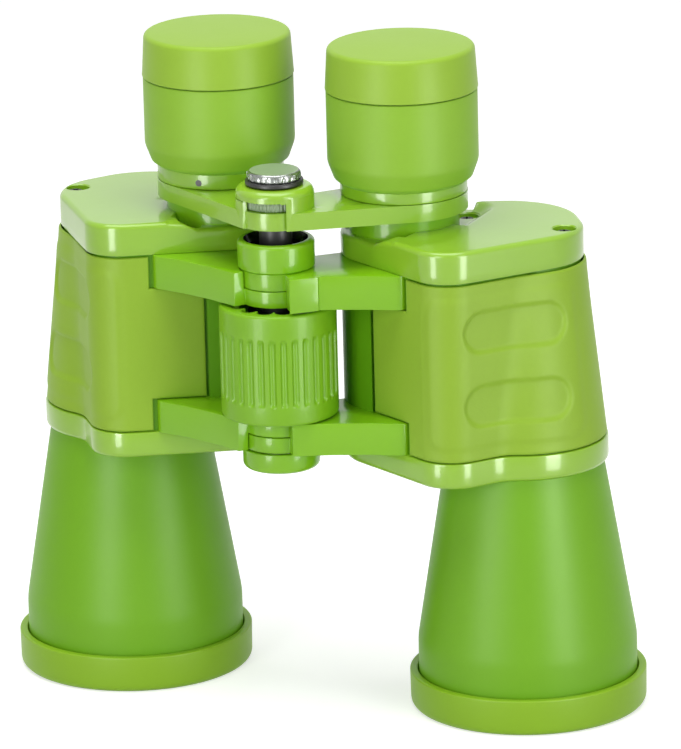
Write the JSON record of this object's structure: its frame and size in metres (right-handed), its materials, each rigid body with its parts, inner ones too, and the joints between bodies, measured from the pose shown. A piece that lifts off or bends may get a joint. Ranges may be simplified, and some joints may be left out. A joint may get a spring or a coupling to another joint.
{
  "type": "binoculars",
  "caption": "Green porro-prism binoculars with a centre hinge, fluted focus wheel, bridge, eyecups, slip-on lens caps, finger recesses and a capped tripod socket.",
  "frame": {"origin": "middle of the footprint, on the floor under the objective caps", "axes": "+Z along the hinge from the objectives to the eyepieces, +X towards the half with the turning eyepiece, -Y on the side of the hinge and focus wheel"},
  "size_m": [0.183, 0.0786, 0.1841],
  "materials": {
    "green_paint": "gloss",
    "barrel_paint": "matte",
    "grip_rubber": "matte",
    "cup_rubber": "satin",
    "cap_plastic": "satin",
    "wheel_plastic": "satin",
    "dark_steel": "satin",
    "bright_steel": "satin",
    "dial_metal": "gloss",
    "brass": "satin",
    "black_plastic": "satin",
    "optical_glass": "polished"
  },
  "bodies": {
    "left_half": {"left_housing": "green_paint", "left_upper_arm": "green_paint", "left_lower_arm": "green_paint", "left_grip_skin": "grip_rubber", "left_top_cover": "green_paint", "left_cover_screws": "dark_steel", "left_nose_plate": "green_paint", "left_barrel": "barrel_paint", "left_objective_lens": "optical_glass", "left_objective_ring": "black_plastic", "left_upper_prism": "optical_glass", "left_lower_prism": "optical_glass", "left_prism_straps": "bright_steel", "left_guide_tube": "green_paint", "hinge_axle": "bright_steel", "axle_nut": "dark_steel", "hinge_pin": "bright_steel"},
    "right_half": {"right_housing": "green_paint", "right_upper_arm": "green_paint", "right_lower_arm": "green_paint", "right_grip_skin": "grip_rubber", "right_top_cover": "green_paint", "right_cover_screws": "dark_steel", "right_nose_plate": "green_paint", "right_barrel": "barrel_paint", "right_objective_lens": "optical_glass", "right_objective_ring": "black_plastic", "right_upper_prism": "optical_glass", "right_lower_prism": "optical_glass", "right_prism_straps": "bright_steel", "right_guide_tube": "green_paint"},
    "focus_wheel": {"focus_wheel": "wheel_plastic", "focus_nut": "brass"},
    "bridge_left": {"left_bridge_arm": "green_paint", "focus_shaft": "dark_steel", "hub_spacer": "dark_steel", "dial_base": "black_plastic", "scale_dial": "dial_metal", "left_eyepiece_sleeve": "green_paint", "left_collar_screw": "dark_steel", "left_lens_cell": "black_plastic", "left_eye_lenses": "optical_glass", "left_eyecup": "cup_rubber"},
    "bridge_right": {"right_bridge_arm": "green_paint"},
    "diopter_ring": {"diopter_ring": "green_paint", "right_eyecup": "cup_rubber"},
    "diopter_cell": {"right_lens_cell": "black_plastic", "right_eye_lenses": "optical_glass"},
    "left_ocular_cap": {"left_ocular_cap": "cap_plastic"},
    "right_ocular_cap": {"right_ocular_cap": "cap_plastic"},
    "left_objective_cap": {"left_objective_cap": "cap_plastic"},
    "right_objective_cap": {"right_objective_cap": "cap_plastic"},
    "tripod_cap": {"tripod_cap": "green_paint"}
  },
  "joints": [
    {"name": "hinge", "type": "hinge", "parent": "left_half", "child": "right_half", "pos_m": [0, -0.02332, 0], "axis": [0, 0, 1], "range_deg": [-58, 0]},
    {"name": "focus_travel", "type": "slide", "parent": "left_half", "child": "bridge_left", "axis": [0, 0, 1], "range_m": [-0.00225, 0.00675]},
    {"name": "focus_turn", "type": "hinge", "parent": "left_half", "child": "focus_wheel", "pos_m": [0, -0.02332, 0], "axis": [0, 0, 1], "range_deg": [-90.5, 270.5]},
    {"name": "focus_right", "type": "slide", "parent": "right_half", "child": "bridge_right", "axis": [0, 0, 1], "range_m": [-0.00226, 0.00676]},
    {"name": "diopter_turn", "type": "hinge", "parent": "bridge_right", "child": "diopter_ring", "pos_m": [0.027, 0.00248, 0], "axis": [0, 0, 1], "range_deg": [-120, 120]},
    {"name": "diopter_shift", "type": "slide", "parent": "bridge_right", "child": "diopter_cell", "axis": [0, 0, 1], "range_m": [-0.00151, 0.00151]},
    {"name": "left_ocular_cap_off", "type": "slide", "parent": "bridge_left", "child": "left_ocular_cap", "axis": [0, 0, 1], "range_m": [0, 0.03]},
    {"name": "right_ocular_cap_off", "type": "slide", "parent": "diopter_ring", "child": "right_ocular_cap", "axis": [0, 0, 1], "range_m": [0, 0.03]},
    {"name": "left_objective_cap_off", "type": "slide", "parent": "left_half", "child": "left_objective_cap", "axis": [0, 0, -1], "range_m": [0, 0.03]},
    {"name": "right_objective_cap_off", "type": "slide", "parent": "right_half", "child": "right_objective_cap", "axis": [0, 0, -1], "range_m": [0, 0.03]},
    {"name": "tripod_cap_off", "type": "slide", "parent": "left_half", "child": "tripod_cap", "axis": [0, 0, -1], "range_m": [0, 0.03]}
  ],
  "couplings": [
    {"joint": "focus_turn", "follows": "focus_travel", "rad_per_m": 698.13},
    {"joint": "focus_right", "follows": "focus_travel", "ratio": 1},
    {"joint": "diopter_shift", "follows": "diopter_turn", "m_per_rad": 0.000716}
  ]
}
